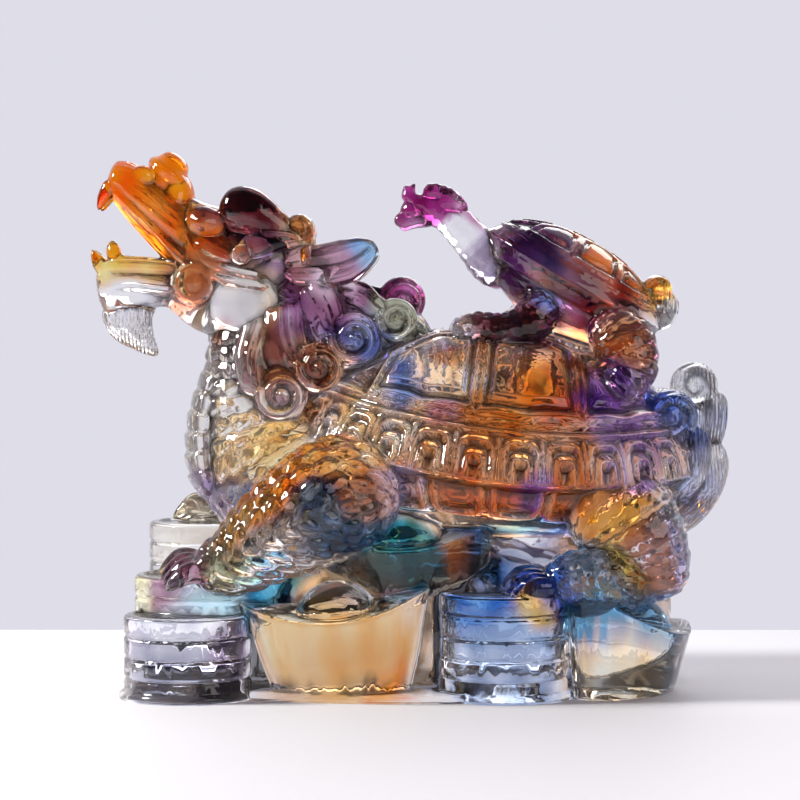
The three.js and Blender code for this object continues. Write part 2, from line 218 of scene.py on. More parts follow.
def rows(spacing, proud):
    def relief(way, around, angle, t):
        share = np.mod(way / spacing, 1)
        return proud * smoothStep(0, 0.18, share) * (0.45 + 0.55 * share) * smoothStep(1, 0.85, share)
    return relief


def strands(count, proud):
    def relief(way, around, angle, t):
        return proud * np.abs(np.sin(angle * count / 2)) ** 0.7
    return relief


# A lock of hair that ends in a whorl round its eye; y is measured outwards on its side
def curl(root, eye, radius, thick, side):
    joint = [a + (b - a) * 0.4 for a, b in zip(root[-1], eye)]
    run = Vector(root[-1]) - Vector(root[0])
    aside = Vector((run.z, 0, -run.x)).normalized()
    for k, out in ((-1.3, -1.2), (-0.45, 0.3), (0.45, 0.3), (1.3, -1.2)):
        stations = []
        for i, point in enumerate([*root, joint]):
            x, y, z = Vector(point) + aside * k * thick * (0.62 - 0.08 * i) + Vector((0, out, 0))
            stations.append([x, side * y, z, thick * 0.42, thick * 0.6])
        limb(stations, up=(0, side, 0), blunt=0.1, relief=strands(6, 0.35))
    start = math.atan2(root[-1][2] - eye[2], root[-1][0] - eye[0])
    band = 0.4

    def rule(p):
        reach = np.hypot(p[:, 0], p[:, 1])
        angle = np.arctan2(p[:, 1], p[:, 0])
        wound = np.mod((angle - start) / (2 * math.pi), 1)
        across = (1 - reach) / band - wound
        inside = across > 0
        share = np.mod(across, 1)
        ridge = np.sqrt(np.clip(1 - (2 * share - 1) ** 2, 0, 1))
        fineLines = 0.055 * np.abs(np.sin(math.pi * share * 3))
        hollow = 0.12 + 0.28 * reach
        middle = 0.1 + 0.3 * np.sqrt(1 - np.clip(reach, 0, 1))
        height = np.where(inside, hollow + 0.24 * ridge + fineLines, middle)
        height = height + 0.3 * bump(reach, 0.2)
        height = height * smoothStep(1.0, 0.9, reach)
        out = np.where(p[:, 2] > 0, height, -1.1 * np.abs(p[:, 2]))
        return np.stack([eye[0] + np.cos(angle) * reach * radius, side * (eye[1] + out * radius),
                         eye[2] + np.sin(angle) * reach * radius], axis=1)

    sides = int(2 * math.pi * radius / casting["grain"] * 1.4)
    reshapedBall(sides, sides // 2 * 2, rule)


# A turtle's shell. u runs along it from -1 at the front to 1 at the back, v across it, both 1 at the rim.
# step is the height of the carving and inset the width of a plate's outline, in mm. panels counts the arches
# round the rim, which arches turns on or off, and phase moves them round it.
def shell(centre, lift, halfLength, halfWidth, height, dip, panels, phase, step, inset, arches):
    turn = np.array(Matrix.Rotation(math.radians(lift), 3, 'Y'))
    seams = [-0.58, -0.13, 0.31, 0.7]
    topShare = 0.85
    bandTop = 0.88
    flare = 1.15
    inner = 0.32
    peak = 0.2

    def outer(u, side):
        return [u * flare, side * math.sqrt(bandTop ** 2 - (u * flare) ** 2) * 0.98]

    middles = [-0.84, *[(a + b) / 2 for a, b in zip(seams, seams[1:])], 0.85]
    plates = []
    for i, u in enumerate(seams):
        front, back = middles[i], middles[i + 1]
        plates.append([[front, -peak], [u, -inner], [back, -peak], [back, peak], [u, inner], [front, peak]])
    for side in (-1, 1):
        for i, u in enumerate(seams[1:]):
            before = seams[i]
            plates.append([[before, side * inner], [middles[i + 1], side * peak], [u, side * inner],
                           outer(u, side), outer((u + before) / 2, side), outer(before, side)])

    # How far inside a plate each point lies, in mm
    def depthInside(u, v, corners):
        corners = np.array(corners) * [halfLength, halfWidth]
        middle = corners.mean(axis=0)
        deepest = np.full_like(u, 9e9)
        for a, b in zip(corners, np.roll(corners, -1, axis=0)):
            normal = np.array([b[1] - a[1], a[0] - b[0]])
            normal = normal / np.linalg.norm(normal)
            if (middle - a) @ normal < 0:
                normal = -normal
            d = (u * halfLength - a[0]) * normal[0] + (v * halfWidth - a[1]) * normal[1]
            deepest = np.minimum(deepest, d)
        return deepest

    def relief(u, v):
        reach = np.hypot(u, v)
        proud = 0.3 * step * bump(reach - 0.85, 0.01)
        for corners in plates:
            d = depthInside(u, v, corners) / inset
            proud += step * (1.5 * smoothStep(-0.1, 0.35, d) - 1.2 * smoothStep(0.75, 1.1, d)
                             + 1.3 * smoothStep(1.8, 2.2, d))
        proud = proud * (reach < 0.862)
        for ridge in (0.866, 0.896):  # two bands round the foot of the dome
            proud += step * 1.1 * bump(reach - ridge, 0.009)
        angle = np.arctan2(v, u)
        x = (np.mod(angle * panels / (2 * math.pi) + phase, 1) - 0.5) * 2
        y = (1.0 - reach) / 0.085
        arch = ((np.abs(x) / 0.85) ** 4 + np.clip(y, 0, 3) ** 4) ** (1 / 4)
        isRim = smoothStep(0.905, 0.915, reach) * arches
        archLines = bump(arch - 0.9, 0.13) + bump(arch - 0.45, 0.14) + bump(np.abs(x) - 1, 0.07)
        proud += isRim * step * 1.1 * archLines
        return proud

    def rule(p):
        t = np.arccos(np.clip(p[:, 2], -1, 1)) / math.pi
        angle = np.arctan2(p[:, 1], p[:, 0])
        isTop = t < topShare
        reach = np.where(isTop, 1 - np.clip(1 - t / topShare, 0, 1) ** 1.3, (1 - t) / (1 - topShare))
        u, v = reach * np.cos(angle), reach * np.sin(angle)
        lean = reach ** 3
        proud = relief(u, v)
        rise = height * np.maximum(0, 1 - reach ** 2.4) ** 0.7
        top = np.stack([(u * halfLength + proud * lean * u), (v * halfWidth + proud * lean * v),
                        rise - dip * v * v + proud * (1 - lean * 0.5)], axis=1)
        under = np.stack([u * halfLength, v * halfWidth,
                          -6 * smoothStep(1, 0.85, reach) - dip * v * v * reach], axis=1)
        return np.where(isTop[:, None], top, under) @ turn.T + np.array(centre, float)

    sides = int(math.pi * (halfLength + halfWidth) / casting["grain"] / 0.9)
    reshapedBall(sides, int(2.4 * halfLength / casting["grain"]), rule)


# A profile turned about a standing axis, its points then moved by a rule
def turned(profile, rule):
    part = bmesh.new()
    verts = [part.verts.new((r, 0, z)) for r, z in profile]
    edges = [part.edges.new(pair) for pair in zip(verts, verts[1:])]
    bmesh.ops.spin(part, geom=verts + edges, cent=(0, 0, 0), axis=(0, 0, 1), angle=2 * math.pi,
                   steps=casting["turnSteps"], use_merge=True)
    bmesh.ops.remove_doubles(part, verts=part.verts, dist=1e-5)
    collect(part, rule)


# Coins in a stack; grooves are counted from the top coin down
def stack(at, radius, coins, grooves, foot=0.0):
    thickness = casting["coinThickness"]
    top = coins * thickness
    groove = casting["coinGroove"]
    profile = [(0, -3), (radius + foot, -3), (radius + foot, 1.6), (radius + foot * 0.5, 2.5)]
    if not foot:
        profile = [(0, -3), (radius, -3)]
    for i in range(grooves, -1, -1):
        seam = top - i * thickness
        profile += [(radius, seam - thickness + 0.9), (radius, seam - 0.9), (radius - groove, seam)]
    profile[-1] = (radius - 0.9, top)
    profile += [(radius - 3.2, top), (radius - 3.9, top - 0.7), (0, top - 0.7)]
    turned(profile, lambda p: p + [at[0], at[1], 0])


# A boat-shaped ingot with raised tips and a dome in its hollow
def ingot(at, level, turn=0, tilt=0):
    halfLength, halfWidth = casting["ingotLength"] / 2, casting["ingotWidth"] / 2
    height, dome = casting["ingotHeight"], casting["ingotDome"]
    wall = along([[0.0, 0.0], [0.62, 0.0], [0.8, 0.32], [0.9, 0.6], [0.98, 0.84], [1.0, 0.9], [0.96, 0.91],
                  [0.84, 0.78], [0.6, 0.72]], np.linspace(0.06, 1, 50))
    profile = [(0, wall[0][1]), *[(r, z) for r, z in wall]]
    for degrees in range(0, 91, 6):
        a = math.radians(degrees)
        profile.append((2 + math.cos(a), 0.74 + math.sin(a) * dome / height))
    profile[-1] = (2, profile[-1][1])
    facing = Matrix.Rotation(math.radians(turn), 3, 'Z') @ Matrix.Rotation(math.radians(tilt), 3, 'Y')

    def rule(p):
        x, y, z = p.T
        reach = np.hypot(x, y)
        share = (reach - 2) / np.maximum(reach, 1) * dome
        tips = 0.24 * x * x * smoothStep(0, 0.87, z)
        narrowing = 1 - 0.3 * x * x
        boat = np.stack([x * halfLength, y * halfWidth * narrowing, (z + tips - 0.1) * height], axis=1)
        ball = np.stack([x * share, y * share, z * height], axis=1)
        return np.where((reach > 1.0001)[:, None], ball, boat) @ np.array(facing).T + [at[0], at[1], level]

    turned(profile, rule)


# The rough heap that fills the bed between the coins and the ingots
def rubble(p):
    return 0.8 * np.abs(np.sin(p[:, 0] * 22) * np.sin(p[:, 1] * 14))


def bed():
    radius = casting["coinRadius"]
    foot = casting["coinFoot"]
    stack((-68, -37), radius, 4, 3, foot)
    stack((34, -37), radius, 5, 4, foot)
    stack((-60, -15), casting["wideCoinRadius"], 5.6, 3)
    stack((-66, 32), radius, 7.7, 5)
    stack((36, 36), radius, 5, 3)
    stack((73, 22), radius, 4, 2)
    ingot((-17.5, -41), 1, tilt=-5)
    ingot((72, -30), -4, turn=52, tilt=12)
    ingot((3, -24), 22, tilt=-3)
    ingot((-14, 42), 1, tilt=4)
    egg((0, 0, 20), (78, 41, 31), relief=rubble)
    top = casting["plinthTop"]
    turned([(0, -3), (1, -3), (1, top - 0.8), (0.985, top), (0, top)],
           lambda p: p * [*casting["plinthHalf"], 1] + [2, 0, 0])


# Four toes that fan out from a paw along X, each ending in a claw; the outer toes stand back and lower
def toes(x, y, z, spread, size, side):
    for k in (-1.5, -0.5, 0.5, 1.5):
        out = k * side * size * 0.35
        stations = []
        for reach, down, r in ((0, 0, 0.9), (1.6, 0.2, 1), (2.7, -0.4, 0.75), (3.8, -1.3, 0.25)):
            fan = 1 + reach * size / 20
            stations.append([x + out - reach * size, y + spread * k * fan,
                             z - out * 0.8 + down * size, r * size])
        limb(stations, blunt=0.12)


def legs(s):
    lift = casting["farLift"] if s > 0 else 0
    knuckles = pebbles(6.4, 1.35)
    limb([[-4, s * 30, 68, 15], [-20, s * 40, 64, 17, 19], [-38, s * 44, 54 + lift / 2, 14, 15.5],
          [-54, s * 42, 43.5 + lift, 9.5, 10], [-66, s * 39, 41.5 + lift, 8, 6]],
         blunt=0.14, relief=knuckles)
    toes(-62, s * 39, 41.5 + lift, 4.2, 3.7, s)
    limb([[58, s * 26, 68, 14, 13], [72, s * 34, 57, 13, 17], [80, s * 35, 42, 13, 14],
          [80, s * 35, 30, 11, 9]], up=(1, 0, 0), relief=fishScales(5.4, 0.9))
    limb([[83, s * 34, 33, 9], [70, s * 40, 38, 11, 10.5], [56, s * 43, 38.5, 9, 8.5],
          [46, s * 44, 37.5, 7, 5.5]], relief=pebbles(4.4, 0.9))
    toes(48, s * 44, 37, 3.9, 3.5, s)


# The panels below the rim of the shell
def marginals(p):
    angle = np.arctan2(p[:, 1], p[:, 0])
    x = (np.mod(angle * 20 / (2 * math.pi) + 0.2, 1) - 0.5) * 2
    y = (p[:, 2] + 0.18) / 0.34
    panel = ((np.abs(x) / 0.92) ** 6 + np.abs(np.clip(y, -5, 5)) ** 6) ** (1 / 6)
    return 1.5 * smoothStep(1.0, 0.9, panel) - 0.9 * smoothStep(0.8, 0.7, panel)


def trunk():
    egg((32, 0, 68), (62, 47, 19), 5, relief=marginals)
    limb([[-22, 0, 62, 30, 22], [-38, 0, 72, 29, 28], [-46, 0, 88, 22, 21], [-48, 0, 102, 17, 17],
          [-47, 0, 118, 14, 15], [-46, 0, 130, 13, 13]],
         up=(1, 0, 0), blunt=0.12, relief=fishScales(7.0, 1.2))
    limb([[-60, 0, 60, 17, 6], [-64.5, 0, 74, 16, 6], [-64, 0, 90, 13, 5.5], [-58, 0, 106, 10, 5],
          [-52, 0, 114, 8, 4]], up=(1, 0, 0), relief=rows(6.2, 1.3))


def head():
    egg((-48, 0, 141), (18, 15, 15), 30)
    limb([[-48, 0, 137, 16, 12], [-60, 0, 141, 14.5, 11.5], [-71, 0, 148.5, 12, 10], [-83, 0, 158.5, 11, 8],
          [-92, 0, 167, 9.5, 6.5], [-97, 0, 168.5, 7, 4.5]], blunt=0.1, relief=strands(20, 0.7))
    limb([[-46, 0, 122, 13, 9], [-62, 0, 126.5, 12.5, 10.5], [-76, 0, 133, 11, 8], [-90, 0, 132.5, 10, 9],
          [-101, 0, 131, 8, 9.5]], blunt=0.1)
    limb([[-66, 0, 137, 5, 3], [-84, 0, 139.5, 5, 2.6], [-94, 0, 141, 4, 2.6], [-96, 0, 147.5, 2.4]])
    egg((-77.5, 0, 169), (7.4, 8.5, 7.6), relief=lambda p: 0.5 * np.sin(p[:, 0] * 5 + p[:, 2] * 7))
    egg((-75, 0, 160), (6.8, 8.6, 10), 12)
    limb([[-74, 0, 155, 10, 8], [-66, 0, 152, 11, 8], [-58, 0, 150, 11, 8]])
    limb([[-91, 0, 128, 6, 9], [-89.5, 0, 120, 5, 7.5], [-85.4, 0, 114, 2.8, 3.6], [-80.6, 0, 109, 0.5]],
         up=(1, 0, 0), relief=strands(14, 0.9))


# A round boss with a raised rim and a knob
def boss(centre, half):
    egg(centre, half, relief=lambda p: 1.3 * bump(np.hypot(p[:, 0], p[:, 2]) - 0.66, 0.16)
        + 1.3 * bump(np.hypot(p[:, 0], p[:, 2]), 0.25))


# A furrow along the outer face of the ear
def furrow(side):
    facing = 0 if side < 0 else math.pi / 2

    def relief(way, around, angle, t):
        return -2.2 * bump(np.sin(angle / 2 - facing), 0.2)
    return relief


def face(s):
    # The eye's lobe, the long brow behind it, the lid below and the leaf-shaped fold with its scroll
    egg((-64, s * 9.5, 153), (6.6, 5.6, 5.4), 20)
    egg((-64.5, s * 14.2, 153), (2.4, 1.6, 2.4))
    limb([[-59.5, s * 8.5, 157.5, 4.5, 4.8], [-51, s * 10, 157, 6, 7.6], [-41, s * 9.5, 151.5, 4.8, 5.6],
          [-32, s * 8, 146, 2.5]], relief=strands(18, 0.5))
    limb([[-67, s * 12.2, 147, 2], [-61, s * 14, 143, 2.6], [-55, s * 15, 140.5, 1.8]])
    limb([[-53, s * 15.5, 143.5, 2.2, 3.2], [-46, s * 16.5, 145.5, 2.4, 4.4], [-38, s * 15.5, 147, 2, 3],
          [-33, s * 13, 147, 1.5, 1.8]])
    boss((-51.6, s * 16.6, 142.4), (3.4, 2.4, 3.4))
    # Cheek, the disc at the jaw's corner and the ridges that run back over the cheek
    egg((-51, s * 11, 127), (11.5, 6.2, 10.5), 12)
    boss((-67.5, s * 11.5, 133), (7.4, 4.4, 7.4))
    for drop in (0, 3.2):
        limb([[-71, s * 11.6, 150.5 - drop, 1.3], [-66.7, s * 13.4, 143 - drop, 1.5],
              [-58.8, s * 15.6, 138 - drop, 1.6], [-42, s * 16.6, 134.6 - drop, 1.3]])
    # Nostril, lips and fangs
    egg((-85, s * 6, 168.5), (4.4, 3.6, 3.6))
    for shift in (0, 3.4):
        limb([[-95 + shift, s * (8 + shift * 0.2), 164 + shift * 0.6, 1.5, 1.6],
              [-83 + shift, s * 9.9, 153 + shift, 1.5, 1.7],
              [-71 + shift, s * 11.8, 141 + shift * 1.2, 1.5, 1.8],
              [-62 + shift, s * 13.6, 135 + shift * 1.4, 1.6, 1.8]])
    for rise, y in ((4.5, 10.9), (7.5, 10.4)):
        limb([[-94, s * 8.2, 165 + rise * 0.5, 0.8], [-85, s * y, 155 + rise, 1.2],
              [-76, s * (y + 0.8), 147.5 + rise, 1.2], [-71, s * (y + 0.6), 144 + rise, 0.6]])
    limb([[-100, s * 5.5, 138, 2.2], [-88, s * 7.5, 138.5, 2.6], [-72, s * 9, 137.5, 2.6]])
    limb([[-98, s * 7.4, 131.5, 1.6], [-88, s * 9.6, 132.5, 2], [-74, s * 11, 131, 2]])
    limb([[-95, s * 5, 167, 2.8], [-98, s * 5.2, 161.5, 2.2], [-100, s * 5.2, 157, 0.6]], up=(1, 0, 0))
    limb([[-94, s * 4.5, 134, 3], [-99.5, s * 5, 139.5, 2.4], [-102, s * 5, 144.5, 0.6]], up=(1, 0, 0))
    # Horn stub and the long ear that sweeps back from it
    limb([[-36, s * 7, 138, 5, 6], [-34, s * 8, 147, 4.8, 5.6], [-33, s * 8.5, 152, 4.4, 4.8],
          [-33, s * 8.5, 156, 2.5]], up=(1, 0, 0), relief=pebbles(3, 0.7))
    limb([[-38, s * 10, 138, 4.5, 6], [-27, s * 13, 138.5, 4.5, 7.2], [-18, s * 15.5, 140, 4, 7.4],
          [-10.5, s * 16.5, 144, 3, 5], [-8, s * 16.8, 146.5, 2, 2.4]], blunt=0.14, relief=furrow(s))


def mane():
    limb([[-44, 0, 133, 13, 10], [-32, 0, 126, 15, 14], [-18, 0, 117, 17, 14.5], [-4, 0, 112, 15, 14],
          [10, 0, 106, 14, 14]], relief=strands(34, 0.8))
    egg((-38, 0, 108), (13, 22, 17), -30)
    curl([[-20, 0, 130], [-12, 0, 128], [-6, 0, 127]], [1, 0, 127.5], 8, 4.4, -1)
    for s in (-1, 1):
        curl([[-44, 13, 122], [-48, 18, 108], [-46, 21, 99]], [-38.5, 21, 96.5], 8.8, 5, s)
        curl([[-38, 14, 126], [-37, 18, 115], [-33, 20, 107]], [-26, 22, 105.5], 8.2, 5.4, s)
        curl([[-30, 12, 132], [-25, 16, 124], [-22, 18, 117]], [-14.5, 19, 115], 8.6, 5.4, s)
        curl([[-22, 8, 128], [-13, 11, 128], [-8, 12, 124]], [-1, 12, 121], 7.2, 5, s)


def tail():
    limb([[78, 0, 58, 16, 12], [92, 0, 61, 13, 11], [101, 0, 70, 9, 8.5], [104, 0, 82, 7, 5.5]],
         up=(-1, 0, 0.4), relief=strands(26, 0.9))
    curl([[98, 3, 74], [104, 3, 84], [105, 3, 95]], [98.5, 3, 99], 8, 4.4, -1)
    for s in (-1, 1):
        curl([[88, 12, 62], [97, 14, 72], [98, 15, 83]], [89.5, 17, 89], 9, 4.6, s)


def youngLimbs(s):
    limb([[13, s * 3.5, 159.5, 2.6, 3], [19, s * 5, 160, 2.2, 2.8], [23, s * 6, 157, 0.7, 0.9]])
    limb([[8, s * 2.6, 163, 1.8], [12, s * 3.2, 163.6, 2.6], [18, s * 3.6, 161.5, 2.2],
          [22, s * 3.8, 158.5, 1.2]], relief=pebbles(2.6, 0.5))
    egg((7.5, s * 4, 159.5), (2.2, 1.4, 1.8))
    limb([[4.5, s * 1.6, 161, 1.5], [4.5, s * 2, 164.5, 1], [5.5, s * 2.2, 166.5, 0.5]], up=(1, 0, 0))
    limb([[46, s * 11, 130, 6], [45, s * 18, 122, 6.5, 7], [36, s * 19, 118, 5.4, 5],
          [25, s * 18, 118.5, 4.6], [17, s * 17.5, 117.5, 4, 3]], relief=pebbles(3.6, 0.8))
    limb([[64, s * 14, 120, 7], [73, s * 21, 114, 8.5, 10], [75, s * 25, 104, 7, 8.5], [69, s * 28, 97, 5]],
         up=(1, 0, 0), relief=fishScales(5, 1.0))


def young():
    egg((56, 0, 128), (27, 20.5, 12), 29)
    limb([[40, 0, 135, 9.5, 9], [31, 0, 141, 8, 8], [24, 0, 148, 6.4, 6.2], [17, 0, 155, 5.6, 5.4],
          [10, 0, 158.5, 5.4, 5], [5, 0, 158.5, 4, 3.5]], relief=fishScales(4.5, 0.6))
    limb([[12, 0, 159, 4.6, 3.2], [5, 0, 161, 4, 2.4], [1, 0, 163.5, 2.6, 1.6]])
    limb([[12, 0, 154.5, 4.2, 2.6], [5, 0, 153.5, 3.4, 2.2], [0, 0, 152, 2.8, 2.2]])
    egg((3, 0, 164.2), (1.8, 2.6, 1.8))
    egg((5.5, 0, 157.4), (5, 3.8, 4.2))
    limb([[3, 0, 155.5, 2], [0.5, 0, 154.5, 2], [0.2, 0, 152, 1.5]])
    egg((80, 0, 119), (7, 7, 5))
    curl([[82, 1, 120], [89, 2, 122], [91, 2, 128]], [86.3, 2, 131], 5, 3, -1)
    bothSides(youngLimbs)


bed()
bothSides(legs)
trunk()
head()
bothSides(face)
mane()
tail()
young()
shell([33, 0, 77], 6, 67, 53, 39, 8, 28, 0.12, 1.65, 2.2, 1)
shell([58, 0, 133.9], 30, 33, 25, 13.5, 2, 20, 0.0, 1.0, 1.5, 0)
bmesh.ops.remove_doubles(bm, verts=bm.verts, dist=1e-4 * mm)
print("relief net:", len(bm.verts), "vertices")

mesh = bpy.data.meshes.new("dragonTurtleGlass")
bm.to_mesh(mesh)
bm.free()
turtle = bpy.data.objects.new("dragonTurtleGlass", mesh)
bpy.context.scene.collection.objects.link(turtle)


# Runs the object's modifiers into its mesh
def applyModifiers(obj):
    graph = bpy.context.evaluated_depsgraph_get()
    made = bpy.data.meshes.new_from_object(obj.evaluated_get(graph))
    old = obj.data
    obj.modifiers.clear()
    obj.data = made
    bpy.data.meshes.remove(old)
    made.name = obj.name


# The points of every loose lump but the largest: the tiny pockets that fusing the parts leaves inside
def crumbs(bm):
    left = set(bm.verts)
    lumps = []
    while left:
        front = [left.pop()]
        lump = []
        while front:
            vert = front.pop()
            lump.append(vert)
            near = [edge.other_vert(vert) for edge in vert.link_edges]
            found = [v for v in near if v in left]
            left.difference_update(found)
            front += found
        lumps.append(lump)
    largest = max(lumps, key=len)
    return [vert for lump in lumps if lump is not largest for vert in lump]


fuse = turtle.modifiers.new("fuse", 'REMESH')
fuse.mode = 'VOXEL'
fuse.voxel_size = casting["voxel"] * mm
soften = turtle.modifiers.new("soften", 'SMOOTH')
soften.iterations = casting["smoothing"]
soften.factor = 0.5
applyModifiers(turtle)
print("fused:", len(turtle.data.polygons), "faces")

thin = turtle.modifiers.new("thin", 'DECIMATE')
thin.ratio = casting["triangles"] / (2 * len(turtle.data.polygons))
applyModifiers(turtle)
bm = bmesh.new()
bm.from_mesh(turtle.data)
bmesh.ops.bisect_plane(bm, geom=bm.verts[:] + bm.edges[:] + bm.faces[:], plane_co=(0, 0, low[2]),
                       plane_no=(0, 0, -1), clear_outer=True, dist=1e-6)
bmesh.ops.delete(bm, geom=crumbs(bm), context='VERTS')
rim = [e for e in bm.edges if e.is_boundary]
bmesh.ops.holes_fill(bm, edges=rim, sides=0)
bmesh.ops.triangulate(bm, faces=[f for f in bm.faces if len(f.verts) > 4])
bmesh.ops.recalc_face_normals(bm, faces=bm.faces)
for polygon in bm.faces:
    polygon.smooth = True
bm.to_mesh(turtle.data)
bm.free()
print("kept:", len(turtle.data.polygons), "faces")


# Keeps the piece inside the casting's own box
def fitInside(obj, low, high):
    count = len(obj.data.vertices)
    co = np.empty(count * 3)
    obj.data.vertices.foreach_get("co", co)
    co = co.reshape(-1, 3)
    margin = casting["margin"] * mm
    ownLow, ownHigh = co.min(axis=0), co.max(axis=0)
    newLow = np.maximum(ownLow, np.array(low) + margin)
    newLow[2] = low[2]
    newHigh = np.minimum(ownHigh, np.array(high) - margin)
    print("own box, mm:", (ownLow / mm).round(1), (ownHigh / mm).round(1))
    co = newLow + (co - ownLow) / (ownHigh - ownLow) * (newHigh - newLow)
    obj.data.vertices.foreach_set("co", co.ravel())
    obj.data.update()
    return co / mm


places = fitInside(turtle, low, high)


def linearColour(hexCode):
    parts = [int(hexCode[i:i + 2], 16) / 255 for i in (1, 3, 5)]
    return [c / 12.92 if c <= 0.04045 else ((c + 0.055) / 1.055) ** 2.4 for c in parts]


